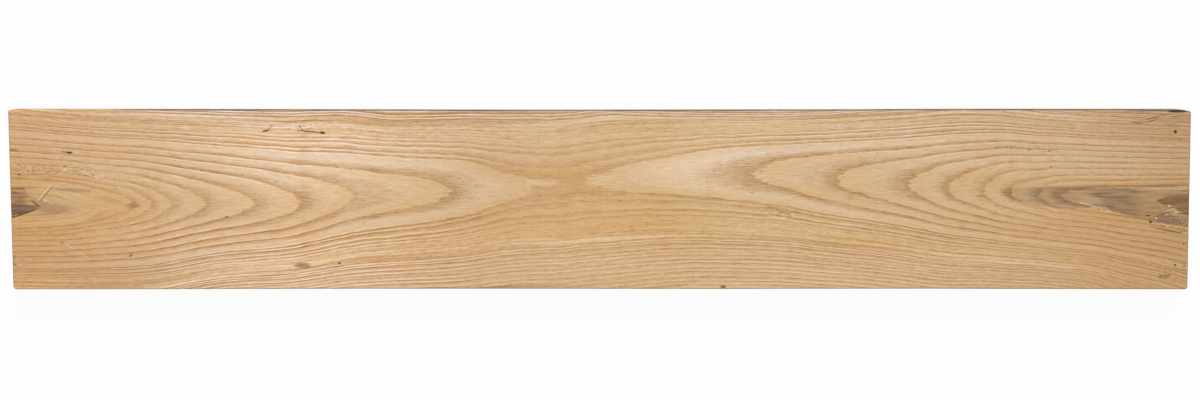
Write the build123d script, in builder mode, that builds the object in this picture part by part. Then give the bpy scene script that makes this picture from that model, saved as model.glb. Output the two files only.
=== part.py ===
from build123d import *
import os

# Reclaimed ash board, in millimetres: one length of solid stock, planed and brushed,
# sawn to length and eased by hand. X runs along the grain, Y across the face and Z up
# through it. The origin is under the middle of the board, in the plane it rests on.
# Front is the long edge towards -Y, and back the long edge towards +Y.

# The stock
board_length = 1314.0
board_width = 201.0
board_thickness = 28.0

# Both ends are sawn a little out of square, the same way: the back corner of the left
# end and the front corner of the right end reach furthest
end_out_of_square = 0.9

# Old timber moves, so each long edge runs in and out: how far inside the stock it lies at
# equal steps along the board, from the left
back_edge_wave = (0.1, 0.35, 0.65, 1.0, 1.05, 0.75, 0.65, 0.1, 0.2)
front_edge_wave = (0.05, 0.35, 0.6, 0.6, 0.6, 0.35, 0.6, 0.65, 0.2)

# Corners seen from above. The back edge falls away towards both of its corners: over a
# short stretch where the left one was knocked, and over a longer one at the right
front_left_radius = 4.0
front_right_radius = 3.4
back_right_radius = 2.6
knocked_corner_along = 5.2
knocked_corner_across = 0.7
knocked_corner_radius = 1.8
fall_length = 19.0
fall_depth = 1.4

# The arrises are sanded round on both faces
arris_radius = 1.6

# A splinter is torn out of the back arris near the right end, and leaves a spindle-shaped bed
splinter_from_right = 15.5
splinter_length = 19.0
splinter_radius = 2.1

# The knot at the left end has shrunk away from the wood in front of it: an open check,
# widest at the end of the board and closed at its tip
check_from_front = 83.0
check_length = 27.0
check_rise = 6.5
check_opening = 0.9
check_depth = 6.0

# Flight holes of wood-boring insects: distance from the right end, distance from the
# front edge, bore
flight_holes = ((18.0, 176.5, 2.2), (43.5, 76.0, 2.0), (5.6, 51.0, 1.6), (14.6, 27.5, 1.5))
flight_hole_depth = 11.0

# A tack hole in front, near the small pin knot
tack_from_left = 366.0
tack_from_front = 29.5
tack_bore = 1.5
tack_depth = 8.0

# Edges of the stock, and its ends at the front and back edges
left = -board_length / 2
right = board_length / 2
front = -board_width / 2
back = board_width / 2
left_at_front = left + end_out_of_square
right_at_back = right - end_out_of_square

front_left = (left_at_front, front)
front_right = (right, front)
knocked_on_end = (left, back - knocked_corner_across)
knocked_on_back = (left + knocked_corner_along, back)
fall_start = (right_at_back - fall_length, back - back_edge_wave[-1])
fall_end = (right_at_back, back - back_edge_wave[-1] - fall_depth)

back_step = board_length / (len(back_edge_wave) + 1)
front_step = board_length / (len(front_edge_wave) + 1)
back_points = [(left + back_step * step, back - inset) for step, inset in enumerate(back_edge_wave, 1)]
front_points = [(left + front_step * step, front + inset) for step, inset in enumerate(front_edge_wave, 1)]


with BuildPart() as ash_board:
    # The plan of the board, drawn clockwise from its front left corner
    with BuildSketch():
        with BuildLine():
            left_end = Line(front_left, knocked_on_end)
            back_edge = Spline(knocked_on_back, *back_points, fall_start, tangents=((1, 0), (1, 0)))
            knocked_corner = TangentArc(back_edge @ 0, left_end @ 1, tangent=(-1, 0))
            fall = TangentArc(back_edge @ 1, fall_end, tangent=back_edge % 1)
            right_end = Line(fall @ 1, front_right)
            front_edge = Spline(
                front_right, *reversed(front_points), front_left, tangents=((-1, 0), (-1, 0))
            )
        make_face()
    extrude(amount=board_thickness)

    # Each corner is rounded by its own wear
    corner_wear = (
        (front_left, front_left_radius),
        (front_right, front_right_radius),
        (fall_end, back_right_radius),
        (knocked_on_end, knocked_corner_radius),
    )
    for (corner_x, corner_y), radius in corner_wear:
        corner = Vector(corner_x, corner_y, board_thickness / 2)
        fillet(ash_board.edges().filter_by(Axis.Z).sort_by_distance(corner)[0], radius)

    # The sanded arrises
    faces_by_height = ash_board.faces().sort_by(Axis.Z)
    fillet(faces_by_height[-1].edges() + faces_by_height[0].edges(), arris_radius)

    # The bed of the torn splinter, along the back arris
    splinter_middle = (right - splinter_from_right, back - fall_depth / 2, board_thickness)
    with BuildSketch(Plane.XY.move(Location(splinter_middle))):
        with BuildLine():
            spindle_axis = Line((-splinter_length / 2, 0), (splinter_length / 2, 0))
            ThreePointArc(spindle_axis @ 1, (0, splinter_radius), spindle_axis @ 0)
        make_face()
    revolve(axis=Axis(splinter_middle, (1, 0, 0)), mode=Mode.SUBTRACT)

    # The open check along the knot
    check_mouth = (left, front + check_from_front)
    check_tip = (left + check_length, front + check_from_front + check_rise)
    with BuildSketch(Plane.XY.offset(board_thickness)):
        with BuildLine():
            Polyline(
                (check_mouth[0] - check_opening, check_mouth[1] - check_opening / 2),
                check_tip,
                (check_mouth[0] - check_opening, check_mouth[1] + check_opening / 2),
                close=True,
            )
        make_face()
    extrude(amount=-check_depth, mode=Mode.SUBTRACT)

    # Insect and tack holes, bored straight down from the face
    for from_right, from_front, bore in flight_holes:
        with Locations((right - from_right, front + from_front, board_thickness)):
            Hole(bore / 2, flight_hole_depth)
    with Locations((left + tack_from_left, front + tack_from_front, board_thickness)):
        Hole(tack_bore / 2, tack_depth)

ash_board.part.label = "ash_board"

os.makedirs("parts", exist_ok=True)
export_step(ash_board.part, "parts/ash_board.step")
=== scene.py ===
import math

import bpy
import numpy as np
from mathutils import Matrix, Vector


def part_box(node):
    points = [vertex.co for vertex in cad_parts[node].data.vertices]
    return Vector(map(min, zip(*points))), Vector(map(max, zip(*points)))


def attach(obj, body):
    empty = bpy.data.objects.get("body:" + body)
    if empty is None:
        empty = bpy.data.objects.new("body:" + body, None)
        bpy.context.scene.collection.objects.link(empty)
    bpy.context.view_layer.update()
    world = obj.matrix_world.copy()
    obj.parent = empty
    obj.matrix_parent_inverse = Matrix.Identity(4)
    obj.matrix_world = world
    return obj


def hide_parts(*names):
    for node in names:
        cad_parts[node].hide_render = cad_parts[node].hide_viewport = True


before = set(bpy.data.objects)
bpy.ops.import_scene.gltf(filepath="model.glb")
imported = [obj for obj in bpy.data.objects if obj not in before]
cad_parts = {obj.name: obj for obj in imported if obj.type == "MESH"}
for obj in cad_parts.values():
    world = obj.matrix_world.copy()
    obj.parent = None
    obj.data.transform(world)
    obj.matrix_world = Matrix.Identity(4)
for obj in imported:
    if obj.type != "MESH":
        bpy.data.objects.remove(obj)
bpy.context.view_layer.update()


# The board's shape. The real piece is one length of reclaimed ash, a solid stick of stock that
# was planed, brushed along the grain and sanded round at its arrises. Here its skin is a fine
# lattice laid over the CAD solid's own outline, with its rows running along the grain.
millimetre = 0.001
low_corner, high_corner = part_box("ash_board")
stock_length = (high_corner.x - low_corner.x) / millimetre
stock_width = (high_corner.y - low_corner.y) / millimetre
stock_thickness = (high_corner.z - low_corner.z) / millimetre
arris_radius = 1.6

columns = 300
rows = 234
end_step = 0.8
middle_step = 5.2
step_growth = 55.0
arris_steps = 4
wall_steps = 8
under_arris_steps = 3
under_column_step = 10
under_row_step = 13


def cad_outline():
    """The plan outline of the CAD solid in millimetres, as its four sides between the corners."""
    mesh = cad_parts["ash_board"].data
    points = np.array([vertex.co for vertex in mesh.vertices]) / millimetre
    wall_foot = points[np.abs(points[:, 2] - arris_radius) < 0.02][:, :2]
    wall_foot = np.unique(np.round(wall_foot, 4), axis=0)
    turn = np.arctan2(wall_foot[:, 1] / stock_width, wall_foot[:, 0] / stock_length)
    loop = wall_foot[np.argsort(turn)]
    corners = [int(np.argmax(loop @ np.array(way))) for way in ((-1, -1), (1, -1), (1, 1), (-1, 1))]
    sides = []
    for start, stop in zip(corners, corners[1:] + corners[:1]):
        count = (stop - start) % len(loop)
        sides.append(loop[(start + np.arange(count + 1)) % len(loop)])
    return sides


def spread_columns():
    """Shares of the length at which the columns stand: close together near both ends."""
    middles = (np.arange(columns) + 0.5) / columns * stock_length
    from_end = np.minimum(middles, stock_length - middles)
    steps = end_step + (middle_step - end_step) * (1 - np.exp(-((from_end / step_growth) ** 2)))
    places = np.concatenate(([0.0], np.cumsum(steps)))
    return places / places[-1]


def along_side(side, shares, axis):
    """Points of one side of the outline at shares of its extent along the given axis."""
    if side[0, axis] > side[-1, axis]:
        side = side[::-1]
    wanted = side[0, axis] + shares * (side[-1, axis] - side[0, axis])
    other = np.interp(wanted, side[:, axis], side[:, 1 - axis])
    return np.stack((wanted, other) if axis == 0 else (other, wanted), axis=1)


def board_skin():
    """The closed skin of the board as a mesh, with a fine face and walls and a coarse underside."""
    front_side, right_side, back_side, left_side = cad_outline()
    across = np.linspace(0, 1, rows + 1)
    along = spread_columns()
    front = along_side(front_side, along, 0)
    back = along_side(back_side, along, 0)
    left = along_side(left_side, across, 1)
    right = along_side(right_side, across, 1)

    # The rim runs round the plan counterclockwise from the front left corner
    rim = np.concatenate((front, right[1:], back[-2::-1], left[-2:0:-1]))
    ahead = np.roll(rim, -1, axis=0) - rim
    ahead /= np.linalg.norm(ahead, axis=1, keepdims=True)
    course = ahead + np.roll(ahead, 1, axis=0)
    course /= np.linalg.norm(course, axis=1, keepdims=True)
    inwards = np.stack((-course[:, 1], course[:, 0]), axis=1)

    # The face fills the rim that lies inside the arris, between its four sides
    border = rim + inwards * arris_radius
    front, right = border[: columns + 1], border[columns : columns + rows + 1]
    back = border[columns + rows : 2 * columns + rows + 1][::-1]
    left = np.concatenate((border[2 * columns + rows :], border[:1]))[::-1]
    u, v = along[None, :, None], across[:, None, None]
    plan = (1 - v) * front[None] + v * back[None] + (1 - u) * left[:, None] + u * right[:, None]
    plan -= (1 - u) * (1 - v) * front[0] + u * (1 - v) * front[-1]
    plan -= (1 - u) * v * back[0] + u * v * back[-1]
    face = np.dstack((plan, np.full(plan.shape[:2], stock_thickness)))
    vertices = [face.reshape(-1, 3)]

    # Loops of the rim go down over the arris, the wall and the lower arris
    quarter = math.pi / 2
    turns = [quarter * step / arris_steps for step in range(1, arris_steps + 1)]
    eased = [(arris_radius * math.sin(t), arris_radius * (1 - math.cos(t))) for t in turns]
    levels = [(reach, stock_thickness - fall) for reach, fall in eased]
    wall = stock_thickness - 2 * arris_radius
    wall_top = levels[-1][1]
    levels += [(arris_radius, wall_top - wall * step / wall_steps) for step in range(1, wall_steps + 1)]
    turns = [quarter * (1 - step / under_arris_steps) for step in range(1, under_arris_steps + 1)]
    levels += [(arris_radius * math.sin(t), arris_radius * (1 - math.cos(t))) for t in turns]
    for reach, height in levels:
        loop = rim + inwards * (arris_radius - reach)
        vertices.append(np.column_stack((loop, np.full(len(loop), height))))

    number = np.arange((columns + 1) * (rows + 1)).reshape(rows + 1, columns + 1)
    quads = np.stack((number[:-1, :-1], number[:-1, 1:], number[1:, 1:], number[1:, :-1]), axis=-1)
    faces = quads.reshape(-1, 4).tolist()
    upper = np.concatenate((number[0], number[1:, -1], number[-1, -2::-1], number[-2:0:-1, 0]))
    first = number.size
    for _ in levels:
        lower = first + np.arange(len(rim))
        faces += np.stack((upper, lower, np.roll(lower, -1), np.roll(upper, -1)), axis=-1).tolist()
        upper = lower
        first += len(rim)

    # The underside is a coarse lattice whose outer cells take in every point of the rim
    column_marks = list(range(0, columns + 1, under_column_step))
    row_marks = list(range(0, rows + 1, under_row_step))
    inner = {}
    inner_points = []
    for row in row_marks[1:-1]:
        for column in column_marks[1:-1]:
            inner[column, row] = first + len(inner_points)
            inner_points.append((*plan[row, column], 0.0))
    vertices.append(np.array(inner_points))

    def under(column, row):
        if row == 0:
            return upper[column]
        if column == columns:
            return upper[columns + row]
        if row == rows:
            return upper[2 * columns + rows - column]
        if column == 0:
            return upper[2 * (columns + rows) - row]
        return inner[column, row]

    for row, next_row in zip(row_marks, row_marks[1:]):
        for column, next_column in zip(column_marks, column_marks[1:]):
            step = 1 if row == 0 else under_column_step
            ring = [under(place, row) for place in range(column, next_column, step)]
            step = 1 if next_column == columns else under_row_step
            ring += [under(next_column, place) for place in range(row, next_row, step)]
            step = 1 if next_row == rows else under_column_step
            ring += [under(place, next_row) for place in range(next_column, column, -step)]
            step = 1 if column == 0 else under_row_step
            ring += [under(column, place) for place in range(next_row, row, -step)]
            faces.append([int(corner) for corner in reversed(ring)])

    mesh = bpy.data.meshes.new("ash_board_skin")
    mesh.from_pydata(np.concatenate(vertices) * millimetre, [], faces)
    mesh.validate()
    return mesh


board = bpy.data.objects.new("ash_board_wood", board_skin())
bpy.context.scene.collection.objects.link(board)


# The wood's figure: growth rings about a heart that lies above the face, nearer to it at both
# ends than in the middle, so that each ring leaves the face in a pointed tip on either side of
# the middle. One rule gives the rings both for the relief of the mesh and for the material.
class Varying:
    """A value that differs from place to place in the wood: a node's output, open to plain sums."""

    def __init__(self, node, output=0):
        self.node = node
        self.tree = node.id_data
        self.socket = node.outputs[output]

    def part(self, output):
        """Another output of the same node."""
        return Varying(self.node, output)

    def __add__(self, other):
        return reckon("ADD", self, other)

    def __radd__(self, other):
        return reckon("ADD", other, self)

    def __sub__(self, other):
        return reckon("SUBTRACT", self, other)

    def __rsub__(self, other):
        return reckon("SUBTRACT", other, self)

    def __mul__(self, other):
        return reckon("MULTIPLY", self, other)

    def __truediv__(self, other):
        return reckon("DIVIDE", self, other)

    def __rtruediv__(self, other):
        return reckon("DIVIDE", other, self)

    def __pow__(self, other):
        return reckon("POWER", self, other)


def put(socket, value):
    """Feeds a socket with a plain value or with one that varies."""
    if isinstance(value, Varying):
        value.tree.links.new(value.socket, socket)
    else:
        socket.default_value = value


def add_node(tree, kind, feeds, **settings):
    """The first output of a new node, with its settings made and its inputs fed."""
    node = tree.nodes.new(kind)
    for name, value in settings.items():
        setattr(node, name, value)
    for name, value in feeds.items():
        put(node.inputs[name], value)
    return Varying(node)


def tree_of(*values):
    """The node tree that the values vary in."""
    return next(value.tree for value in values if isinstance(value, Varying))


def reckon(operation, *values):
    """The outcome of one operation on the given values."""
    return add_node(tree_of(*values), "ShaderNodeMath", dict(enumerate(values)), operation=operation)


def blend(share, first, second):
    """A number that goes from first to second as share goes from 0 to 1."""
    return add_node(share.tree, "ShaderNodeMix", {"Factor": share, "A": first, "B": second})


def ramp(value, start, stop):
    """0 at start and 1 at stop, with a soft way between them."""
    feeds = {"Value": value, "From Min": start, "From Max": stop}
    return add_node(value.tree, "ShaderNodeMapRange", feeds, interpolation_type="SMOOTHSTEP")


def drawn(value, reach, top, points, handle="AUTO_CLAMPED"):
    """A drawn curve from 0 to reach on one side and from 0 to top on the other."""
    curve = add_node(value.tree, "ShaderNodeFloatCurve", {"Value": value / reach})
    line = curve.node.mapping.curves[0]
    for point, (place, height) in zip(line.points, (points[0], points[-1])):
        point.location = (place / reach, height / top)
    for place, height in points[1:-1]:
        line.points.new(place / reach, height / top)
    for point in line.points:
        point.handle_type = handle
    curve.node.mapping.update()
    return curve * top


def streaks(lengthways, sideways, downwards, size, detail=2.0, roughness=0.5):
    """Noise whose grains have the given length and breadth in millimetres, from 0 to 1."""
    tree = lengthways.tree
    length, breadth = size
    place = {0: lengthways / length, 1: sideways / breadth, 2: downwards / breadth}
    feeds = {"Vector": add_node(tree, "ShaderNodeCombineXYZ", place), "Scale": 1.0}
    return add_node(tree, "ShaderNodeTexNoise", feeds | {"Detail": detail, "Roughness": roughness})


def new_group(name, kind, inputs, outputs):
    """An empty node group with its sockets, what it is given, and the node for its results."""
    group = bpy.data.node_groups.new(name, kind)
    for socket, form in inputs.items():
        group.interface.new_socket(socket, in_out="INPUT", socket_type="NodeSocket" + form)
    for socket, form in outputs.items():
        group.interface.new_socket(socket, in_out="OUTPUT", socket_type="NodeSocket" + form)
    return group, Varying(group.nodes.new("NodeGroupInput")), group.nodes.new("NodeGroupOutput")


# Tips of the rings on the face: distance from the left end, ring
left_tips = ((136, 1), (156, 2), (178, 3), (217, 4), (271, 5), (323, 6), (383, 7), (489, 8))
right_tips = ((831, 8), (923, 7), (1003, 6), (1046, 5), (1085, 4), (1114, 3), (1147, 2), (1169, 1))

# Width of each year's growth, from the heart outwards
year_widths = (
    23.0, 7.0, 4.5, 5.0, 7.0, 7.0, 7.0, 7.5, 7.0, 9.5, 2.5, 5.0, 3.5, 3.0, 2.1, 2.0, 2.0, 2.4,
    3.0, 4.3, 2.7, 2.4, 4.6, 3.5, 3.0, 4.3, 3.7, 5.4, 4.1, 5.0, 5.0, 4.0, 5.0, 4.0, 5.0, 5.0,
)
year_starts = [sum(year_widths[: year + 1]) for year in range(len(year_widths))]

# The heart's height above the face: least at the ends, and most over the saddle in the middle
heart_at_left, heart_at_right = 2.0, 20.0
saddle = ((575, 83.4), (615, 84.0), (655, 83.6))
heart_height = (
    (0, heart_at_left),
    (40, 8.0),
    (80, 17.5),
    (99, year_starts[0]),
    *((place, year_starts[year]) for place, year in left_tips),
    *saddle,
    *((place, year_starts[year]) for place, year in right_tips),
    (1285, year_starts[0]),
    (stock_length, heart_at_right),
)

# The heart's distance from the back edge, along the board
heart_line = (
    (0, 107), (200, 106), (300, 106), (340, 103), (383, 98), (489, 91), (560, 88), (610, 87), (650, 82),
    (740, 75), (831, 73.5), (923, 80), (1003, 86), (1060, 90), (1114, 93), (1169, 97), (stock_length, 103),
)

# How the rings close up towards each edge, and how blunt their tips are, along the board
back_closeness = (
    (0, 1.0), (100, 1.07), (250, 1.03), (350, 1.0), (450, 1.09), (600, 1.03), (650, 1.07), (700, 1.2),
    (775, 1.42), (850, 1.5), (900, 1.42), (1000, 1.2), (1060, 1.12), (1150, 1.2), (stock_length, 1.24),
)
back_bluntness = (
    (0, 2.2), (100, 2.0), (600, 2.0), (700, 2.2), (800, 2.55), (900, 2.6), (1000, 2.4), (1060, 2.25),
    (1200, 2.3), (stock_length, 2.5),
)
front_closeness = (
    (0, 1.2), (50, 1.18), (150, 1.12), (250, 1.22), (350, 1.19), (450, 1.12), (520, 1.09), (600, 1.09),
    (660, 1.08), (760, 1.12), (850, 1.14), (950, 1.2), (1030, 1.21), (1100, 1.3), (1170, 1.36),
    (1250, 1.2), (stock_length, 1.05),
)
front_bluntness = 1.8

# How plainly each ring shows, from the heart outwards
ring_strength = (
    (0, 0.5), (1, 0.75), (3, 0.8), (4, 0.85), (5, 0.95), (8, 1.0), (10, 0.95), (12, 0.60), (13, 0.32),
    (14, 0.14), (17, 0.14), (18, 0.28), (19, 0.85), (22, 0.8), (23, 0.5), (25, 0.85), (27, 0.7), (35, 0.7),
)
last_ring = ring_strength[-1][0]


ring_answers = ("Along", "Across", "Below", "Radius", "Even", "Ring", "Start", "Year", "Side")


def growth_rings(kind):
    """A node group that says where in the rings a point of the wood lies."""
    outputs = dict.fromkeys(ring_answers, "Float")
    group, given, result = new_group("growth rings", kind, {"Position": "Vector"}, outputs)
    split = add_node(group, "ShaderNodeSeparateXYZ", {0: given.part("Position")})
    along = split.part(0) * (1 / millimetre) + stock_length / 2
    across = split.part(1) * (-1 / millimetre) + stock_width / 2
    below = split.part(2) * (-1 / millimetre) + stock_thickness

    # The lines of a grown tree wander a little
    sway = streaks(along, across, below, (110.0, 16.0)) - 0.5
    waver = streaks(along, across, below, (15.0, 2.6)) - 0.5
    bend = streaks(along, across, below, (34.0, 9.0)) - 0.5
    off_heart = sway * 2.0 + (across - drawn(along, stock_length, 120.0, heart_line))
    front_part = reckon("GREATER_THAN", off_heart, 0.0)
    back_close = drawn(along, stock_length, 2.0, back_closeness)
    closeness = blend(front_part, back_close, drawn(along, stock_length, 2.0, front_closeness))
    bluntness = blend(front_part, drawn(along, stock_length, 4.0, back_bluntness), front_bluntness)

    # A ring's section is a blunt oval round the heart, so its height and its breadth are raised
    # to the power of its bluntness; far keeps the numbers near 1
    far = 100.0
    height = drawn(along, stock_length, 100.0, heart_height) + below
    sideways = reckon("ABSOLUTE", off_heart) * closeness
    height_power = (height / far) ** bluntness
    side_power = (sideways / far) ** bluntness
    both = height_power + side_power
    even = both ** (1.0 / bluntness) * far
    side = side_power / both
    radius = even + (bend * 1.6 + waver * blend(ramp(side, 0.0, 0.6), 1.5, 0.35))

    last = len(year_starts) - 1
    counts = [(0, 0)] + [(reach, year) for year, reach in enumerate(year_starts)][1:]
    count = drawn(radius, year_starts[last], last, counts, "VECTOR")
    ring = reckon("FLOOR", count)
    year = drawn(ring, last, 12.0, [(n, year_widths[n + 1]) for n in range(last)], "VECTOR")
    start = reckon("FRACT", count) * year

    answers = (along, across, below, radius, even, ring, start, year, side)
    for name, value in zip(ring_answers, answers):
        put(result.inputs[name], value)
    return group


def blemish_group(kind):
    """A node group for one mark on the face: a soft or ragged oval, from 0 outside to 1 inside."""
    inputs = ("Along", "Across", "From left", "From back", "Half length", "Half width")
    inputs += ("Turn", "Soft", "Ragged", "Roughness of rim")
    group, given, result = new_group("blemish", kind, dict.fromkeys(inputs, "Float"), {"Mask": "Float"})
    right = given.part("Along") - given.part("From left")
    down = given.part("Across") - given.part("From back")
    cosine = reckon("COSINE", given.part("Turn"))
    sine = reckon("SINE", given.part("Turn"))
    lengthways = (right * cosine + down * sine) / given.part("Half length")
    sideways = (down * cosine - right * sine) / given.part("Half width")
    distance = reckon("SQRT", sideways * sideways + lengthways * lengthways)
    distance = given.part("Ragged") * given.part("Roughness of rim") + distance
    half_soft = given.part("Soft") * 0.5
    put(result.inputs["Mask"], ramp(distance, 1.0 + half_soft, 1.0 - half_soft))
    return group


# The relief: brushing has taken out the soft start of each ring, and the plane has left the
# face a little uneven. The lattice is sunk into the wood by that much, along its normals.
def relief_tree():
    """A Geometry Nodes tree that sinks the skin where the wood is soft or was worn."""
    inputs = {"Geometry": "Geometry", "Groove depth": "Float", "Groove width": "Float"}
    inputs |= {"Unevenness": "Float", "Wood": "Material"}
    tree, given, result = new_group("brushed relief", "GeometryNodeTree", inputs, {"Geometry": "Geometry"})
    tree.is_modifier = True
    where = add_node(tree, "GeometryNodeInputPosition", {})
    figure = growth_rings("GeometryNodeTree")
    rings = add_node(tree, "GeometryNodeGroup", {"Position": where}, node_tree=figure)
    below, start, year = (rings.part(name) for name in ("Below", "Start", "Year"))
    width = given.part("Groove width")
    after = ramp(start, width, 0.0)
    before = ramp(year - start, width * 0.4, 0.0)
    strength = drawn(rings.part("Ring"), last_ring, 1.0, ring_strength)
    groove = reckon("MAXIMUM", after, before) * strength * given.part("Groove depth")
    groove = groove * ramp(year, 1.5, 5.5)
    uneven = streaks(rings.part("Along"), rings.part("Across"), below, (140.0, 22.0))
    sunk = uneven * given.part("Unevenness") + groove

    # The coarse underside stays flat
    fine_part = reckon("LESS_THAN", below, stock_thickness - 0.5)
    sunk = sunk * (fine_part * -millimetre)

    normal = add_node(tree, "GeometryNodeInputNormal", {})
    push = add_node(tree, "ShaderNodeVectorMath", {}, operation="SCALE")
    put(push.node.inputs[0], normal)
    put(push.node.inputs["Scale"], sunk)
    moved = add_node(tree, "GeometryNodeSetPosition", {"Geometry": given.part("Geometry"), "Offset": push})
    solid = add_node(tree, "GeometryNodeRealizeInstances", {"Geometry": moved})
    painted = add_node(tree, "GeometryNodeSetMaterial", {"Geometry": solid, "Material": given.part("Wood")})
    put(result.inputs["Geometry"], painted)
    return tree


def set_input(modifier, name, value):
    """Sets one named input of a Geometry Nodes modifier."""
    for item in modifier.node_group.interface.items_tree:
        if item.name == name and getattr(item, "in_out", "") == "INPUT":
            modifier[item.identifier] = value


ash = bpy.data.materials.new("brushed_ash")
relief = board.modifiers.new("relief", "NODES")
relief.node_group = relief_tree()
set_input(relief, "Groove depth", 0.05)
set_input(relief, "Groove width", 2.4)
set_input(relief, "Unevenness", 0.10)
set_input(relief, "Wood", ash)


# Holes, checks and torn places. Insects bored the round holes and a tack made one, the knot
# at the left end has shrunk open along its front, and a splinter is gone from the back arris.
# Each is cut out of the skin at the size and place that it has in the CAD solid.
def on_face(from_left, from_back, below=0.0):
    """A point in millimetres from the left end, the back edge and the face, in the frame."""
    return (from_left - stock_length / 2, stock_width / 2 - from_back, stock_thickness - below)


def add_tube(vertices, faces, stations, sides, turn=0.0):
    """Adds a closed tube of loops; each station has a middle, two half axes and its radii."""
    first = len(vertices)
    for middle, across_way, down_way, radius in stations:
        for side in range(sides):
            angle = 2 * math.pi * side / sides + turn
            reach = np.array(across_way) * math.cos(angle) + np.array(down_way) * math.sin(angle)
            vertices.append(tuple(np.array(middle) + reach * radius))
    for loop in range(len(stations) - 1):
        for side in range(sides):
            here, there = first + loop * sides, first + (loop + 1) * sides
            following = (side + 1) % sides
            faces.append((here + side, here + following, there + following, there + side))
    faces.append(tuple(reversed(range(first, first + sides))))
    last = first + (len(stations) - 1) * sides
    faces.append(tuple(range(last, last + sides)))


# Distance from the right end, distance from the front edge, bore
flight_holes = ((18.0, 176.5, 2.2), (43.5, 76.0, 2.0), (5.6, 51.0, 1.6), (14.6, 27.5, 1.5))
flight_hole_depth = 11.0
tack_hole = (stock_length - 366.0, 29.5, 1.5)
tack_depth = 8.0
bore_sides = 18
above_face = 1.0

cutter_vertices, cutter_faces = [], []
bores = [(hole, flight_hole_depth) for hole in flight_holes] + [(tack_hole, tack_depth)]
for (from_right, from_front, bore), depth in bores:
    level_ways = ((1, 0, 0), (0, 1, 0))
    stations = [
        (on_face(stock_length - from_right, stock_width - from_front, below), *level_ways, bore / 2)
        for below in (depth, -above_face)
    ]
    add_tube(cutter_vertices, cutter_faces, stations, bore_sides)

# The splinter's bed is a spindle, and so are the ragged hollows of small torn places:
# middle from the left end and from the back edge, length, radius, turn in the plan
splinter = (stock_length - 15.5, 0.7, 19.0, 2.1, 0.0)
torn_places = (
    (66.0, 47.3, 9.0, 0.9, 0.0),
    (288.5, 22.9, 7.0, 0.8, -0.12),
    (343.0, 25.2, 16.0, 0.6, 0.02),
    (329.0, 23.2, 12.0, 0.5, 0.22),
    (29.0, 105.6, 9.0, 0.4, 0.62),
    (795.0, 198.0, 5.0, 0.8, 0.0),
    (852.0, 117.0, 14.0, 0.45, 0.10),
    (1269.5, 117.7, 4.5, 0.45, 0.15),
    (1284.0, 186.0, 7.0, 0.5, -0.05),
)
spindle_stations = 9
spindle_sides = 10
for from_left, from_back, length, radius, turn in (splinter,) + torn_places:
    way = np.array((math.cos(turn), -math.sin(turn), 0.0))
    level = np.array((math.sin(turn), math.cos(turn), 0.0))
    middle = np.array(on_face(from_left, from_back))
    stations = []
    for step in range(spindle_stations):
        share = 2 * (step + 0.5) / spindle_stations - 1
        stations.append((middle + way * share * length / 2, level, (0, 0, 1), radius * (1 - share * share)))
    add_tube(cutter_vertices, cutter_faces, stations, spindle_sides, math.pi / spindle_sides)

check_from_front, check_length, check_rise = 83.0, 27.0, 6.5
check_opening, check_depth = 0.9, 6.0
check_stations = 9
check_overrun = 1.0
check_waver = 0.25
check_bends = 9
stations = []
for step in range(check_stations):
    share = step / (check_stations - 1)
    waver = check_waver * math.sin(check_bends * share) * share * (1 - share) * 4
    middle_y = stock_width - check_from_front - check_rise * share + waver
    half = max(check_opening / 2 * (1 - share), 0.06)
    middle_x = share * (check_length + check_overrun) - check_overrun
    middle = np.array(on_face(middle_x, middle_y, check_depth / 2 - above_face / 2))
    stations.append((middle, (0, half, 0), (0, 0, (check_depth + above_face) / 2), math.sqrt(2)))
add_tube(cutter_vertices, cutter_faces, stations, 4, math.pi / 4)

cutter_mesh = bpy.data.meshes.new("cutters")
in_metres = [tuple(c * millimetre for c in point) for point in cutter_vertices]
cutter_mesh.from_pydata(in_metres, [], cutter_faces)
cutters = bpy.data.objects.new("cutters", cutter_mesh)
bpy.context.scene.collection.objects.link(cutters)
cutter_mesh.materials.append(ash)

cut = board.modifiers.new("holes", "BOOLEAN")
cut.operation = "DIFFERENCE"
cut.solver = "MANIFOLD"
cut.object = cutters
bpy.context.view_layer.update()
evaluated = board.evaluated_get(bpy.context.evaluated_depsgraph_get())
finished_mesh = bpy.data.meshes.new_from_object(evaluated)
board.modifiers.clear()
board.data = finished_mesh
finished_mesh.name = "ash_board_wood"
bpy.data.objects.remove(cutters)
finished_mesh.shade_smooth()
finished_mesh.set_sharp_from_angle(angle=math.radians(38))


# The map that the board's texture is laid out in. The face has most of it, with more room across
# the grain than along it. Each rectangle is its left, bottom, width and height as shares.
face_place = (0.004, 0.372, 0.992, 0.624)
under_place = (0.004, 0.166, 0.992, 0.198)
back_place = (0.004, 0.124, 0.992, 0.034)
front_place = (0.004, 0.082, 0.992, 0.034)
left_place = (0.004, 0.006, 0.200, 0.066)
right_place = (0.212, 0.006, 0.200, 0.066)
check_place = (0.424, 0.006, 0.100, 0.018)
bore_place = (0.540, 0.006, 0.060, 0.044)
check_step = 0.025
bore_step = 0.075
bottom_rise = 0.006
bottom_size = 0.012
wall_share = 0.9
edge_zone = 3.0


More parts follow.
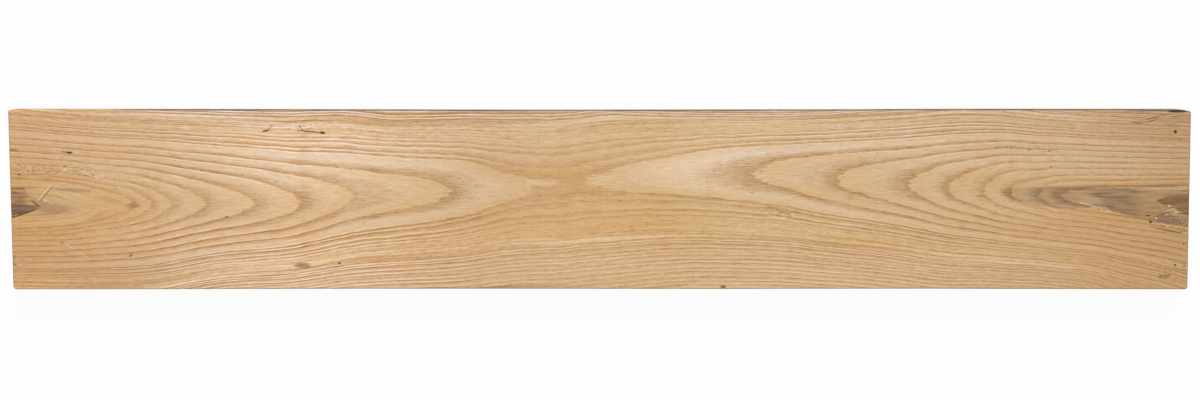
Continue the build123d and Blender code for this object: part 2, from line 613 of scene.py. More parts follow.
def layout_map(mesh):
    """Adds the map to the mesh: each face goes to the rectangle of the side it looks out of."""
    points = np.array([vertex.co for vertex in mesh.vertices]) / millimetre
    corners = np.array([loop.vertex_index for loop in mesh.loops])
    counts = np.array([face.loop_total for face in mesh.polygons])
    normals = np.array([face.normal for face in mesh.polygons])
    middles = np.array([face.center for face in mesh.polygons]) / millimetre
    own = np.repeat(np.arange(len(counts)), counts)
    x, y, z = points[corners].T
    half_length, half_width = stock_length / 2, stock_width / 2
    normal_x, normal_y, normal_z = normals.T
    steep = np.abs(normal_z) < 0.7
    on_y = np.abs(normal_y) > np.abs(normal_x)
    at_side = np.abs(middles[:, 1]) > half_width - edge_zone
    at_end = np.abs(middles[:, 0]) > half_length - edge_zone
    place = np.zeros((len(x), 2))

    def lay(faces, right, up, spot):
        mask = faces[own]
        place[mask, 0] = spot[0] + spot[2] * right[mask]
        place[mask, 1] = spot[1] + spot[3] * up[mask]

    along_share, across_share, up_share = x / stock_length + 0.5, y / stock_width + 0.5, z / stock_thickness
    everything = np.ones(len(counts), dtype=bool)
    lay(everything, along_share, across_share, face_place)
    lay(normal_z < -0.7, 1 - along_share, across_share, under_place)
    lay(steep & on_y & at_side & (normal_y > 0), 1 - along_share, up_share, back_place)
    lay(steep & on_y & at_side & (normal_y < 0), along_share, up_share, front_place)
    lay(steep & ~on_y & at_end & (normal_x < 0), 1 - across_share, up_share, left_place)
    lay(steep & ~on_y & at_end & (normal_x > 0), across_share, up_share, right_place)

    # The two walls of the check, and each bore's wall rolled out, with its bottom beside it
    reach = (x + half_length) / (check_length + 1.0)
    drop = (z - stock_thickness + check_depth) / check_depth
    for side in (0, 1):
        in_check = steep & on_y & ~at_side & (middles[:, 0] < check_length + 1.5 - half_length)
        facing = normal_y > 0 if side else normal_y < 0
        spot = (check_place[0], check_place[1] + side * check_step, check_place[2], check_place[3])
        lay(in_check & facing, reach, drop, spot)
    for number, ((from_right, from_front, bore), depth) in enumerate(bores):
        hole_x, hole_y = half_length - from_right, from_front - half_width
        near = np.hypot(middles[:, 0] - hole_x, middles[:, 1] - hole_y) < bore / 2 + 0.05
        near &= middles[:, 2] < stock_thickness - 0.3
        turn = np.arctan2(middles[:, 1] - hole_y, middles[:, 0] - hole_x)[own]
        off_turn = np.arctan2(y - hole_y, x - hole_x) - turn
        off_turn = (off_turn + math.pi) % (2 * math.pi) - math.pi
        around = 0.5 - (turn + off_turn) / (2 * math.pi) * wall_share
        left = bore_place[0] + number * bore_step
        lay(near & steep, around, (z - stock_thickness + depth) / depth, (left, *bore_place[1:]))
        spot = (left, bore_place[1] + bore_place[3] + bottom_rise, bottom_size, bottom_size)
        lay(near & ~steep, (x - hole_x) / bore + 0.5, (y - hole_y) / bore + 0.5, spot)
    layer = mesh.uv_layers.new(name="OFBake")
    layer.data.foreach_set("uv", place.ravel())


layout_map(finished_mesh)

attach(board, "root")
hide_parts("ash_board")


# The board's finish: matt bare ash. Each ring starts with a brown band of open pores and goes
# over into pale dense wood; fine fibres run along it, and old stains, worn ends and a weathered
# back edge lie over that. Lengths are in millimetres and colours as the wood shows them.
def shade(red, green, blue):
    """A colour given as it shows on a screen, from 0 to 255."""
    linear = [
        part / 12.92 if part <= 0.04045 else ((part + 0.055) / 1.055) ** 2.4
        for part in (red / 255, green / 255, blue / 255)
    ]
    return (*linear, 1.0)


def tint(share, first, second, way="MIX"):
    """A colour that goes from first to second as share goes from 0 to 1."""
    node = tree_of(share, first, second).nodes.new("ShaderNodeMix")
    node.data_type = "RGBA"
    node.blend_type = way
    inputs = {socket.identifier: socket for socket in node.inputs}
    for name, value in (("Factor_Float", share), ("A_Color", first), ("B_Color", second)):
        put(inputs[name], value)
    outputs = [socket.identifier for socket in node.outputs]
    return Varying(node, outputs.index("Result_Color"))


def off_middle(noise, reach):
    """Noise from 0 to 1 made to swing about 0, by up to about half of reach."""
    return (noise - 0.5) * reach


pale_wood = shade(238, 209, 172)
warm_wood = shade(223, 183, 131)
soft_band = shade(191, 141, 84)
soft_streak = shade(160, 106, 54)
soft_tip = shade(186, 147, 102)
soft_tip_streak = shade(160, 121, 80)
ring_line = shade(156, 102, 48)
# The worn ridge colour is the pale of rubbed fibres, and also the painted highlight on proud ridges
pale_fibre_and_highlight = shade(252, 230, 200)
pore_colour = shade(118, 74, 36)

ash.use_nodes = True
tree = ash.node_tree
principled = tree.nodes["Principled BSDF"]
place = add_node(tree, "ShaderNodeTexCoord", {}).part("Object")
rings = add_node(tree, "ShaderNodeGroup", {"Position": place}, node_tree=growth_rings("ShaderNodeTree"))
along, across, below, radius, even, ring, start, year, side = (rings.part(name) for name in ring_answers)
on_side = ramp(side, 0.0, 0.45)

# Strands and fibres run straight along the board at the tips, and with the rings on the flanks
strand, fibre = (
    blend(on_side, streaks(along, across, below, size, 2.0, 0.6), streaks(along, even, 0.0, size, 2.0, 0.6))
    for size in ((38.0, 1.5), (16.0, 0.5))
)
layer = streaks(along, radius, 0.0, (120.0, 1.25), 3.0, 0.65)
broad = streaks(along, across, below, (260.0, 45.0), 2.0)
mottle = streaks(along, even, 0.0, (8.0, 1.4), 2.0, 0.6)
fine_lines = streaks(along, even, 0.0, (260.0, 2.6), 1.0)
pores = streaks(along, across, below, (3.6, 0.34), 1.0)
open_pores = streaks(along, across, below, (7.5, 0.8), 1.0)
strength = drawn(ring, last_ring, 1.0, ring_strength)

# Brushing shows most where the wood was worn hardest: left of the middle, and along both edges
brushed = drawn(
    along, stock_length, 2.0,
    ((0, 0.62), (110, 0.80), (210, 1.50), (330, 1.55), (430, 1.45), (560, 1.15), (700, 0.94), (850, 1.08),
     (1000, 1.12), (1130, 0.85), (stock_length, 0.80)),
)
edge_wear = blend(ramp(along, 380.0, 520.0), 1.5, 2.0)
brushed = brushed * blend(ramp(across, 80.0, 150.0), 0.75, 1.12)
brushed = brushed * blend(ramp(across, 34.0, 8.0), 1.0, edge_wear)

# Pale dense wood, with a tone of its own in each ring, warmer before the next ring starts
ring_tone = streaks(ring * 7.3, 0.0, 0.0, (1.0, 1.0), 0.0)
left_of_year = year - start
warmth = off_middle(broad, 1.1) + (off_middle(ring_tone, 0.7) + 0.04)
warmth = side * 0.05 + (ramp(left_of_year, 6.0, 0.0) * 0.62 + warmth)
colour = tint(warmth, pale_wood, warm_wood)

# Brown and pale fibres in streaks, along the grain and along the rings
for noise, share in ((strand, brushed * 0.18 + 0.14), (layer, side * brushed * 0.40)):
    colour = tint(ramp(noise, 0.50, 0.70) * share, colour, soft_band)
    colour = tint(ramp(noise, 0.50, 0.30) * share, colour, pale_fibre_and_highlight)

# Dense wood stands proud at the end of each ring and in threads along it, is rubbed pale there, and gets a
# painted highlight on these ridges
proud_ridge_highlight = ramp(left_of_year, 2.2, 0.4) * on_side * strength
thread = ramp(streaks(along, radius, 0.0, (190.0, 1.1), 2.0, 0.5), 0.55, 0.70)
thread = thread * side * blend(strength, 1.0, 0.6)
ridge_highlight = reckon("MAXIMUM", proud_ridge_highlight, thread) * brushed
colour = tint(ridge_highlight * 0.50, colour, pale_fibre_and_highlight)

# The soft band at the start of each ring: sharp on the inside, combed out on the outside where
# the ring lies flat in the face, and narrow in a narrow year
comb = blend(on_side, 1.0, 0.30)
combed = off_middle(fibre, 2.4) * comb + (off_middle(strand, 5.0) * comb + start)
band_width = reckon("MINIMUM", year * 0.75, blend(on_side, 5.6, 4.6))
band = ramp(combed, band_width, 0.1) * ramp(start, -0.02, 0.14) * strength
deep_share = reckon("MAXIMUM", ramp(fibre, 0.52, 0.36), ramp(brushed, 0.9, 2.0) * 0.6)
side_paint = tint(deep_share, soft_band, soft_streak)
tip_paint = tint(deep_share, soft_tip, soft_tip_streak)
patchy = ramp(streaks(along, radius, 0.0, (70.0, 3.0), 2.0), 0.30, 0.62)
near_saddle = ramp(reckon("ABSOLUTE", along - 620.0), 130.0, 50.0)
band_share = band * blend(near_saddle * -0.9 + patchy, 0.46, 0.84)
band_share = band_share * blend(on_side, 0.92, brushed * 0.28 + 0.56)
colour = tint(band_share, colour, tint(on_side, tip_paint, side_paint))

# On the flanks the band is a groove with a dark line, fainter in a narrow year
spotted = ramp(streaks(along, radius, 0.0, (24.0, 2.2), 3.0, 0.6), 0.36, 0.66)
line = ramp(start, 1.6, 0.1) * strength * on_side
line = line * (blend(spotted, 0.14, 0.70) * (brushed * 0.42 + 0.12))
line = line * blend(ramp(year, 1.5, 5.0), 0.6, 1.0)
colour = tint(line, colour, ring_line)

# Age has darkened the wood, most at both ends and along the front, and left it rosier at the left
age = drawn(
    along, stock_length, 1.0,
    ((0, 0.55), (60, 0.45), (140, 0.28), (220, 0.08), (380, 0.02), (470, 0.16), (560, 0.32), (680, 0.34),
     (780, 0.18), (880, 0.12), (1000, 0.18), (1120, 0.28), (1220, 0.36), (stock_length, 0.50)),
)
front_age = drawn(
    across, stock_width, 1.0,
    ((0, 0.0), (20, 0.0), (45, 0.0), (75, 0.12), (101, 0.24), (130, 0.34), (157, 0.24), (185, 0.10),
     (stock_width, 0.12)),
)
rosy = drawn(
    along, stock_length, 1.0,
    ((0, 0.80), (70, 0.65), (130, 0.60), (200, 0.50), (285, 0.40), (365, 0.36), (445, 0.28), (520, 0.30),
     (600, 0.20), (700, 0.10), (800, 0.08), (900, 0.20), (1000, 0.24), (1080, 0.22), (1150, 0.30),
     (1230, 0.40), (stock_length, 0.40)),
)
off_centre = ramp(reckon("ABSOLUTE", across - 92.0), 15.0, 70.0)
rosy = rosy * blend(off_centre, 0.5, 1.3)
colour = tint(age + front_age, colour, tint(1.0, colour, (0.88, 0.72, 0.50, 1.0), "MULTIPLY"))
colour = tint(rosy, colour, tint(1.0, colour, (1.02, 0.95, 0.98, 1.0), "MULTIPLY"))

# Denser wood takes away more blue than red, so its contrast is least in red and most in blue
parts = add_node(tree, "ShaderNodeSeparateColor", {0: colour})
denser = {}
for name, power, middle in (("Red", 0.80, 0.65), ("Green", 1.0, 0.42), ("Blue", 1.25, 0.23)):
    denser[name] = (parts.part(name) / middle) ** power * middle
colour = add_node(tree, "ShaderNodeCombineColor", denser)

# The old knots and the grey stain. Each lies between two lines drawn along the board: its
# border towards the back edge and its border towards the front
grey_stain = shade(152, 126, 97)
grey_edge = shade(128, 102, 78)
old_knot = shade(112, 88, 68)
knot_dark = shade(88, 62, 42)
brown_stain = shade(160, 118, 80)
rim_noise = off_middle(streaks(along, across, below, (7.0, 1.5), 3.0, 0.65), 1.0)
on_top = ramp(below, 9.0, 5.0)


def between(upper, lower, softness, raggedness):
    """A mask between two drawn lines, of pairs of distances from the left end and the back edge."""
    ragged = rim_noise * raggedness + across
    past_upper = ragged - drawn(along, stock_length, stock_width, upper)
    past_lower = ragged - drawn(along, stock_length, stock_width, lower)
    mask = ramp(past_upper, -softness / 2, softness / 2) * ramp(past_lower, softness / 2, -softness / 2)
    return mask * on_top


# Brown wood on the saddle between the two sets of tips, and a pale tongue that reaches into it
saddle_wood = between(
    ((0, 201), (571, 201), (577, 99), (581, 86), (588, 84.5), (609, 84.5), (614, 72.5), (622, 70.5),
     (636, 72), (645, 79), (653, 84), (664, 87), (672, 91), (678, 201), (stock_length, 201)),
    ((0, 0), (571, 0), (577, 104), (590, 102), (610, 97), (625, 92.5), (640, 90), (655, 90.5), (672, 92.5),
     (678, 0), (stock_length, 0)),
    1.6,
    3.0,
)
colour = tint(saddle_wood * 0.9, colour, shade(213, 169, 119))
tongue = between(
    ((0, 201), (568, 201), (573, 77), (610, 76.8), (614, 201), (stock_length, 201)),
    ((0, 0), (568, 0), (573, 84.6), (610, 84.4), (614, 0), (stock_length, 0)),
    2.0,
    3.0,
)
colour = tint(tongue * 0.55, colour, shade(231, 197, 158))
right_tongue = between(
    ((0, 201), (636, 201), (642, 76), (652, 74.5), (680, 72), (stock_length, 72)),
    ((0, 0), (636, 0), (642, 84.5), (655, 85), (680, 72), (stock_length, 60)),
    1.4,
    2.4,
)
colour = tint(right_tongue * 0.5, colour, shade(231, 199, 156))

stain = between(
    ((0, 200), (1080, 200), (1103, 88), (1120, 87.2), (1200, 87), (stock_length, 87)),
    ((0, 0), (1085, 0), (1103, 93), (1130, 103.5), (1152, 107.5), (1180, 110), (1214, 108), (1228, 113),
     (1248, 118.5), (1266, 124), (1284, 127), (stock_length, 131)),
    2.4,
    5.0,
)
depth = drawn(
    along, stock_length, 1.0,
    ((0, 0.3), (1100, 0.38), (1150, 0.50), (1180, 0.56), (1200, 0.66), (1216, 0.90), (1240, 0.92),
     (1258, 0.62), (1280, 0.50), (stock_length, 0.60)),
)
smoke = streaks(along, across, below, (30.0, 3.2), 3.0, 0.62)
depth = depth * blend(ramp(smoke, 0.36, 0.62), 1.08, 0.70)
stain_paint = tint(ramp(smoke, 0.56, 0.34), grey_stain, shade(138, 112, 86))
colour = tint(stain * depth, colour, stain_paint)
tip_reach = off_middle(strand, 3.0) * comb + start
tip_line = ramp(tip_reach, 2.6, 0.1) * ramp(start, -0.05, 0.3)
dark_tips = stain * tip_line * ramp(along, 1225.0, 1205.0)
colour = tint(dark_tips * 0.48, colour, grey_edge)
brown_patch = between(
    ((0, 130), (1258, 109), (1276, 101.5), (1288, 96.5), (1300, 94.5), (stock_length, 94)),
    ((0, 70), (1258, 94), (1276, 101.5), (1288, 107.5), (1300, 112.5), (stock_length, 118)),
    1.6,
    5.0,
)
patch_paint = tint(ramp(smoke, 0.40, 0.62), shade(136, 100, 66), shade(160, 124, 84))
colour = tint(brown_patch * 0.92, colour, patch_paint)
knot_stain = between(
    ((0, 86.5), (16, 86.5), (22, 97), (34, 99.5), (46, 106), (stock_length, 107)),
    ((0, 105.5), (36, 107), (46, 104), (60, 100), (stock_length, 90)),
    3.0,
    7.0,
)
knot_depth = blend(ramp(smoke, 0.38, 0.60), 0.85, 0.30)
knot_depth = knot_depth * blend(ramp(along, 14.0, 24.0), 1.0, 0.5)
colour = tint(knot_stain * knot_depth, colour, shade(154, 110, 76))
knot = between(
    ((0, 105.5), (33, 107.2), (38, 111), (60, 125), (stock_length, 130)),
    ((0, 117.6), (10, 115.8), (18, 113.2), (33, 107.6), (38, 103), (60, 90), (stock_length, 90)),
    0.9,
    0.8,
)
knot_paint = tint(ramp(smoke, 0.40, 0.60), old_knot, shade(142, 118, 96))
colour = tint(knot * 0.94, colour, knot_paint)

# Small marks, each a soft or ragged oval: distance from the left end and the back edge, half
# length, half width, turn in degrees, softness, raggedness, colour, strength
# The dull wood colour is also the painted shadow round the left knot
dull_wood_and_shadow = shade(172, 136, 102)
# The dirt colour is dirt on the face, and also paints shade over the holes, cracks and torn spots
dirt_and_hole_shade = shade(102, 61, 28)
# The fresh chip colour is pale torn wood, and also the painted highlight on one wall of a scratch
pale_chip_and_highlight = shade(240, 214, 178)
dark_chip = shade(134, 94, 58)
green_brown = shade(140, 112, 74)
marks = (
    # the painted shadow round the left knot, its dark tip and the dark bark under it
    (4, 92, 5, 0.8, 0, 0.6, 0.6, knot_dark, 0.35),
    (12, 87.3, 12, 0.8, 0, 0.7, 0.6, shade(128, 88, 58), 0.55),
    (52, 114, 24, 7, 0, 1.2, 0.7, shade(196, 154, 116), 0.55),
    (70, 89.5, 22, 2.4, 3, 1.1, 0.8, dull_wood_and_shadow, 0.65),
    (45, 110, 18, 5, 4, 1.3, 0.6, dull_wood_and_shadow, 0.50),
    (5, 107, 9, 2.4, 6, 0.9, 0.4, knot_dark, 0.35),
    (16, 115.2, 17, 1.1, -19, 0.8, 0.6, knot_dark, 0.85),
    (28.5, 105.0, 6, 1.0, 38, 0.7, 0.6, shade(112, 78, 50), 0.80),
    # a scratch by the knot, with a painted highlight on one wall and painted shade on the other
    (38.8, 92.3, 12.5, 0.75, -49, 0.4, 0.2, pale_chip_and_highlight, 0.75),
    (40.3, 93.6, 12, 0.6, -49, 0.5, 0.3, shade(136, 100, 68), 0.8),
    (38.9, 101, 1.6, 0.9, 0, 0.6, 0.4, pale_chip_and_highlight, 0.9),
    (1.5, 117.8, 2.0, 1.3, 0, 0.6, 0.3, dirt_and_hole_shade, 0.9),
    (10.7, 115.6, 1.8, 1.0, 0, 0.6, 0.3, dirt_and_hole_shade, 0.8),
    # the dark heart streak in front of the left tips
    (137, 106.5, 8, 3.0, 3, 1.1, 1.1, shade(164, 124, 90), 0.70),
    (112, 101, 16, 3.0, 14, 1.2, 0.9, shade(190, 146, 100), 0.50),
    (98, 117.5, 14, 2.0, -22, 1.1, 0.9, shade(188, 144, 98), 0.50),
    # small marks at the left
    (67, 47.6, 4.0, 1.2, 3, 0.5, 0.4, dirt_and_hole_shade, 0.9),
    (61, 46.8, 2.6, 0.8, 3, 0.7, 0.4, dirt_and_hole_shade, 0.6),
    (5, 44.5, 5, 1.8, 8, 0.9, 1.0, dirt_and_hole_shade, 0.45),
    (10.8, 72, 1.8, 0.9, 0, 0.7, 0.5, dirt_and_hole_shade, 0.8),
    (3.5, 173, 2.2, 1.4, 25, 0.8, 0.7, dirt_and_hole_shade, 0.45),
    (7, 175, 4, 0.5, 36, 0.5, 0.3, dirt_and_hole_shade, 0.30),
    (63, 151.5, 8, 0.7, 29, 0.5, 0.4, pale_chip_and_highlight, 0.60),
    (57, 148.2, 3, 0.8, 10, 0.6, 0.4, shade(136, 98, 64), 0.7),
    (82, 163, 7, 0.6, 32, 0.5, 0.5, pale_chip_and_highlight, 0.40),
    (132.5, 163, 1.3, 1.5, 60, 0.7, 0.5, dirt_and_hole_shade, 0.70),
    (134.5, 161.5, 1.2, 1.0, 0, 0.7, 0.5, dirt_and_hole_shade, 0.60),
    (241, 119.5, 2.4, 0.8, -10, 0.8, 0.5, dirt_and_hole_shade, 0.75),
    # chips of lifted grain above the left tips
    (60, 68.5, 5, 0.7, -50, 0.5, 0.5, pale_chip_and_highlight, 0.55),
    (64, 67.0, 4, 0.6, -20, 0.5, 0.5, pale_chip_and_highlight, 0.50),
    (83, 66.0, 4, 0.8, 60, 0.5, 0.5, pale_chip_and_highlight, 0.45),
    (86, 72.0, 6, 0.7, 15, 0.5, 0.5, pale_chip_and_highlight, 0.45),
    (99, 75.0, 7, 0.8, 12, 0.5, 0.5, pale_chip_and_highlight, 0.50),
    # the crack and the torn spots near the back edge
    (333, 24.0, 13, 0.8, 6, 0.6, 0.6, dirt_and_hole_shade, 0.75),
    (326, 21.0, 7, 0.6, 48, 0.7, 0.5, brown_stain, 0.70),
    (349, 25.6, 3.2, 1.4, 8, 0.6, 0.4, dirt_and_hole_shade, 0.95),
    (285.5, 23.4, 3.2, 1.2, -12, 0.6, 0.5, dirt_and_hole_shade, 0.90),
    (290, 20.4, 5, 0.7, -48, 0.7, 0.4, brown_stain, 0.75),
    # the pin knot with its tack hole, and marks along the front edge
    (324, 173.5, 9, 3.0, 4, 0.8, 0.9, green_brown, 0.80),
    (366, 171.3, 2.2, 1.4, 0, 0.9, 0.5, dirt_and_hole_shade, 0.55),
    (794.5, 197.8, 3.4, 1.8, 0, 0.9, 0.6, green_brown, 0.85),
    (570, 197.6, 60, 1.0, -1, 0.8, 0.6, dirt_and_hole_shade, 0.30),
    # torn grain and dark pores right of the middle
    (852, 109, 12, 0.7, 6, 0.8, 0.8, shade(176, 132, 84), 0.65),
    (858, 113, 13, 0.7, 26, 0.8, 0.8, shade(176, 132, 84), 0.65),
    (853, 119, 12, 0.6, 4, 0.8, 0.8, pale_chip_and_highlight, 0.50),
    (826, 92.5, 4, 0.6, 5, 0.8, 0.8, dirt_and_hole_shade, 0.45),
    (1130, 43, 28, 0.8, 4, 0.9, 1.0, dirt_and_hole_shade, 0.25),
    (1156, 45.7, 1.3, 0.8, 0, 0.8, 0.5, dirt_and_hole_shade, 0.7),
    (1158.6, 63.6, 1.5, 0.8, 20, 0.8, 0.5, dirt_and_hole_shade, 0.55),
    (1268, 117.9, 3.0, 0.8, 3, 0.6, 0.5, dirt_and_hole_shade, 0.95),
    (1285, 116, 12, 0.6, -24, 0.6, 0.6, shade(104, 78, 54), 0.70),
    (1271, 125, 1.9, 1.6, 0, 0.8, 0.4, dirt_and_hole_shade, 0.80),
    (1296, 24.5, 1.9, 2.0, 0, 0.9, 0.4, dirt_and_hole_shade, 0.75),
    (1299.4, 173.5, 1.4, 1.3, 0, 0.9, 0.4, dirt_and_hole_shade, 0.6),
    (1309.5, 174.8, 1.3, 0.9, 0, 0.9, 0.4, dirt_and_hole_shade, 0.6),
    (1287.5, 186, 6, 2.0, -4, 1.0, 1.1, green_brown, 0.60),
    # dark line of the ring that runs out under the grey stain
    (1292, 135, 18, 1.2, 12, 0.9, 0.6, shade(140, 100, 60), 0.75),
    (1310, 116, 7, 0.9, 2, 0.8, 0.5, shade(104, 76, 48), 0.70),
    # the cracks and the dark bed of the splinter in the back right corner
    (1254, 14.4, 8, 0.6, 2, 0.7, 0.6, shade(120, 88, 60), 0.75),
    (1269, 12.4, 8, 0.6, -16, 0.7, 0.6, shade(120, 88, 60), 0.75),
    (1273, 8.4, 14, 0.6, -14, 0.7, 0.6, shade(130, 92, 60), 0.75),
    (1297, 7.9, 7, 0.6, 0, 0.7, 0.6, shade(130, 92, 60), 0.65),
    (1292, 17, 9, 2.0, 4, 1.0, 0.9, dull_wood_and_shadow, 0.40),
    (1298, 1.2, 11, 2.0, 0, 0.5, 0.4, shade(62, 46, 34), 0.95),
    (1266, 0.6, 24, 1.6, 0, 0.9, 0.6, shade(98, 78, 60), 0.60),
    # the paler patch inside the stain, the grey wood under it, and the bright line over it, a painted
    # highlight on the stain's upper rim
    (1203, 100, 13, 4.5, 10, 0.7, 0.6, shade(206, 168, 128), 0.75),
    (1290, 123, 16, 4.5, 8, 0.8, 0.7, shade(146, 122, 102), 0.70),
    (1262, 112, 15, 4, 12, 1.0, 0.8, shade(198, 152, 108), 0.40),
    (1288, 88.3, 30, 0.7, 0, 0.8, 0.3, shade(236, 206, 168), 0.60),
    (1200, 85.6, 62, 1.3, -1, 0.9, 0.7, shade(160, 118, 76), 0.55),
    (1285, 84.8, 34, 1.3, -1, 0.9, 0.7, shade(168, 120, 72), 0.65),
    # chips of torn light wood along the edges of the stain
    (1201, 105.6, 15, 0.8, 15, 0.6, 1.1, pale_chip_and_highlight, 0.60),
    (1277, 121, 1.8, 1.0, 20, 0.5, 0.5, pale_chip_and_highlight, 0.85),
    (1291, 107, 2.6, 1.0, 20, 0.5, 0.6, pale_chip_and_highlight, 0.80),
    (1293, 111.5, 6, 0.8, -22, 0.6, 0.8, pale_chip_and_highlight, 0.70),
    (1300, 113.5, 3, 0.8, 10, 0.6, 0.8, pale_chip_and_highlight, 0.60),
    (1289, 130, 5, 0.7, 40, 0.6, 0.8, pale_chip_and_highlight, 0.50),
)
blemish = blemish_group("ShaderNodeTree")


def place_mark(from_left, from_back, length, width, turn, soft, ragged, rim):
    """The mask of one mark on the face, with its turn in degrees."""
    feeds = {"Along": along, "Across": across, "From left": from_left, "From back": from_back}
    feeds |= {"Half length": length, "Half width": width, "Turn": math.radians(turn)}
    feeds |= {"Soft": soft, "Ragged": ragged, "Roughness of rim": rim}
    return add_node(tree, "ShaderNodeGroup", feeds, node_tree=blemish)


# Places where the grain is torn into light and dark flecks: distance from the left end and
# the back edge, half length, half width, turn in degrees
torn_grain = (
    (82, 69.5, 34, 5.5, 13),
    (30, 67, 26, 5, 5),
    (1128, 43.5, 32, 3.5, 2),
    (1291, 117, 20, 9, 14),
    (1303, 133, 12, 7, 10),
    (1206, 107.5, 24, 3, 15),
    (6, 166, 7, 9, 0),
    (1293, 184, 13, 7, 0),
    (855, 114, 18, 6, 8),
    (330, 19, 22, 5, 0),
)
flecked = 0.0
for oval in torn_grain:
    flecked = reckon("MAXIMUM", place_mark(*oval, 1.0, 1.5, rim_noise), flecked)
flecked = flecked * on_top
fleck = streaks(along, across, below, (5.0, 1.9), 2.0, 0.6)
colour = tint(flecked * ramp(fleck, 0.55, 0.62) * 0.48, colour, pale_chip_and_highlight)
colour = tint(flecked * ramp(fleck, 0.44, 0.37) * 0.60, colour, dark_chip)

for *oval, soft, ragged, paint, power in marks:
    colour = tint(place_mark(*oval, soft, 2.4 * ragged, rim_noise) * (on_top * power), colour, paint)

# Fibres, layers and pores show through the stains too
layering = off_middle(layer, 1.0) * (side * brushed) * blend(strength, 1.9, 1.0)
light = off_middle(strand, 0.46) * brushed + 1.0
light = off_middle(fibre, 0.98) + light
light = off_middle(mottle, 0.80) * (blend(strength, 1.0, 0.35) * on_side) + light
light = off_middle(fine_lines, 1.30) * (ramp(strength, 0.9, 0.3) * on_side) + light
light = layering + light

# Bright grain is paler and dark grain browner: the power that each colour takes in dark wood
# and in bright wood
dark_part = reckon("MINIMUM", light, 1.0)
bright_part = reckon("MAXIMUM", light, 1.0)
grain = {}
for name, dark_power, bright_power in (("Red", 0.5, 0.60), ("Green", 1.0, 0.95), ("Blue", 1.75, 1.40)):
    grain[name] = dark_part**dark_power * bright_part**bright_power
colour = tint(1.0, colour, add_node(tree, "ShaderNodeCombineColor", grain), "MULTIPLY")
tone = drawn(
    along, stock_length, 1.0,
    ((0, 0.89), (110, 0.93), (200, 0.95), (330, 0.98), (450, 0.945), (540, 0.91), (600, 0.92), (760, 0.94),
     (880, 0.935), (1000, 0.91), (1060, 0.892), (1130, 0.865), (1220, 0.825), (stock_length, 0.75)),
)

# Broad patches that are lighter or darker, and warmer or cooler: distance from the left end
# and the back edge, half length, half width, brightness, warmth
tone_patches = (
    (345, 34, 120, 32, 0.055, 0.10),
    (190, 50, 70, 36, -0.015, 0.20),
    (700, 6, 560, 14, -0.055, 0.04),
    (545, 88, 48, 13, 0.030, -0.18),
    (340, 88, 110, 24, 0.060, 0.0),
    (300, 38, 70, 16, 0.035, -0.05),
    (340, 168, 150, 34, 0.045, 0.08),
    (778, 60, 62, 20, 0.075, -0.12),
    (95, 178, 110, 26, -0.060, 0.16),
    (30, 92, 60, 26, -0.050, 0.12),
    (30, 130, 60, 26, -0.010, -0.08),
    (860, 150, 190, 42, -0.030, 0.06),
    (128, 189, 44, 18, -0.050, 0.06),
    (1275, 178, 75, 30, -0.020, 0.24),
    (1120, 84, 60, 30, 0.010, 0.10),
    (1290, 20, 60, 26, -0.050, -0.04),
)
warm_share = 0.0
smoky_rim = off_middle(smoke, 1.0)
for from_left, from_back, length, width, brightness, warmer in tone_patches:
    patch = place_mark(from_left, from_back, length, width, 0.0, 1.7, 1.2, smoky_rim)
    tone = patch * brightness + tone
    warm_share = patch * warmer + warm_share
olive = drawn(
    along, stock_length, 0.02,
    ((0, 0.0), (560, 0.0), (680, 0.005), (800, 0.008), (1000, 0.006), (1120, 0.0), (stock_length, 0.0)),
)
warming = {"Red": 1.0, "Green": warm_share * -0.07 + (olive + 1.0), "Blue": warm_share * -0.38 + 1.0}
colour = tint(1.0, colour, add_node(tree, "ShaderNodeCombineColor", warming), "MULTIPLY")
colour = tint(1.0, colour, tone, "MULTIPLY")
pore_share = ramp(pores, 0.60, 0.72) * blend(band, 0.08, 0.50)
colour = tint(pore_share, colour, pore_colour)
open_share = ramp(open_pores, 0.65, 0.72) * blend(band, 0.30, 0.75)
colour = tint(open_share * on_top, colour, pore_colour)

# Sawn ends are darker and weathered, the back edge is grey-brown with old dirt, and the holes
# and checks get painted shade inside
end_wood = shade(150, 102, 60)
dark_end_wood = shade(118, 82, 52)
weathered = shade(74, 60, 48)
painted_hole_shade = shade(88, 57, 34)
normal = add_node(tree, "ShaderNodeNewGeometry", {}).part("Normal")
facing = add_node(tree, "ShaderNodeSeparateXYZ", {0: normal})
on_end = ramp(reckon("ABSOLUTE", facing.part(0)), 0.20, 0.70)
end_speckle = streaks(along, across, below, (1.2, 0.9), 2.0)
end_colour = tint(ramp(end_speckle, 0.35, 0.65), end_wood, dark_end_wood)
end_share = blend(reckon("GREATER_THAN", facing.part(0), 0.0), 0.65, 0.85)
colour = tint(on_end * end_share, colour, end_colour)
on_back = ramp(facing.part(1), 0.45, 0.80)
grime = streaks(along, across, below, (60.0, 7.0), 3.0, 0.6)
grime_share = blend(ramp(grime, 0.36, 0.58), 0.62, 0.94) * blend(ramp(along, 95.0, 150.0), 0.30, 1.0)
colour = tint(on_back * grime_share, colour, weathered)
on_front = ramp(facing.part(1), -0.25, -0.75)
colour = tint(on_front * 0.45, colour, soft_band)
hole_shade_share = ramp(below, 0.5, 1.6)
rim_gap = 2.2
for measure, extent in ((along, stock_length), (across, stock_width)):
    hole_shade_share = hole_shade_share * reckon("GREATER_THAN", measure, rim_gap)
    hole_shade_share = hole_shade_share * reckon("LESS_THAN", measure, extent - rim_gap)
hole_shade_share = hole_shade_share * reckon("LESS_THAN", below, stock_thickness - rim_gap)
colour = tint(hole_shade_share * 0.9, colour, painted_hole_shade)

put(principled.inputs["Base Color"], colour)
put(principled.inputs["Roughness"], off_middle(fibre, 0.16) + (band * 0.12 + 0.58))
principled.inputs["Specular IOR Level"].default_value = 0.2

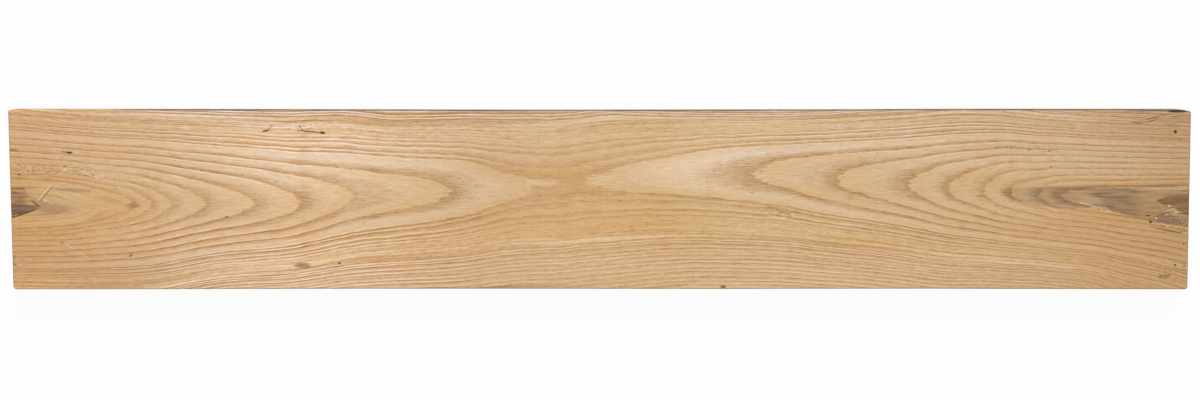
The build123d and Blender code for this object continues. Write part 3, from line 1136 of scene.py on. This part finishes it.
# Height of the brushed grain, in millimetres
groove = reckon("MAXIMUM", ramp(start, 1.9, 0.2), ramp(left_of_year, 0.8, 0.0)) * strength * brushed
height = groove * (on_side * ramp(year, 1.0, 5.0)) * -0.07
height = strand * (brushed * 0.11) + height
height = thread * (brushed * 0.05) + height
height = fibre * 0.07 + height
height = pore_share * -0.10 + height
height = layering * 0.16 + height
bump = add_node(tree, "ShaderNodeBump", {"Height": height, "Distance": millimetre, "Strength": 1.0})
put(principled.inputs["Normal"], bump)


# The floor and the light. The board lies on a plain white floor that keeps its soft shadow and
# shows near white to the camera. The light is soft and even from all round, with a key light
# from behind the back edge, and the camera looks down on the face.
floor_reach = 3.0
floor_height = -0.0002
floor_corners = [(-floor_reach, -floor_reach), (floor_reach, -floor_reach)]
floor_corners += [(floor_reach, floor_reach), (-floor_reach, floor_reach)]
floor_mesh = bpy.data.meshes.new("floor")
floor_mesh.from_pydata([(x, y, floor_height) for x, y in floor_corners], [], [(0, 1, 2, 3)])
floor = bpy.data.objects.new("floor", floor_mesh)
bpy.context.scene.collection.objects.link(floor)
white = bpy.data.materials.new("white_floor")
white.use_nodes = True
floor_mesh.materials.append(white)
white_tree = white.node_tree
diffuse = white_tree.nodes["Principled BSDF"]
diffuse.inputs["Base Color"].default_value = (0.9, 0.9, 0.9, 1.0)
diffuse.inputs["Roughness"].default_value = 0.9
glow = add_node(white_tree, "ShaderNodeEmission", {"Color": (0.99, 0.99, 0.99, 1.0)})
seen = add_node(white_tree, "ShaderNodeLightPath", {}).part("Is Camera Ray") * 0.96
surface = add_node(white_tree, "ShaderNodeMixShader", {0: seen, 1: Varying(diffuse), 2: glow})
put(white_tree.nodes["Material Output"].inputs["Surface"], surface)

world = bpy.data.worlds.new("soft_room")
bpy.context.scene.world = world
world.use_nodes = True
background = world.node_tree.nodes["Background"]
background.inputs["Color"].default_value = (1.0, 1.0, 1.0, 1.0)
background.inputs["Strength"].default_value = 0.5
key_tilt = math.radians(52)
key = bpy.data.lights.new("key", "SUN")
key.energy = 0.5 * math.pi / math.cos(key_tilt)
key.angle = math.radians(16)
key_object = bpy.data.objects.new("key", key)
key_object.rotation_euler = (-key_tilt, 0.0, math.radians(-12))
bpy.context.scene.collection.objects.link(key_object)

# The camera stands a little to the back edge's side
camera_distance = 2.45
camera_tilt = math.radians(5.35)
camera = bpy.data.cameras.new("camera")
camera.lens = 66.0
camera.sensor_width = 36.0
camera_object = bpy.data.objects.new("camera", camera)
camera_object.location = (
    0.0,
    camera_distance * math.sin(camera_tilt),
    stock_thickness * millimetre + camera_distance * math.cos(camera_tilt),
)
camera_object.rotation_euler = (-camera_tilt, 0.0, 0.0)
bpy.context.scene.collection.objects.link(camera_object)
bpy.context.scene.camera = camera_object
bpy.context.scene.view_settings.view_transform = "Standard"
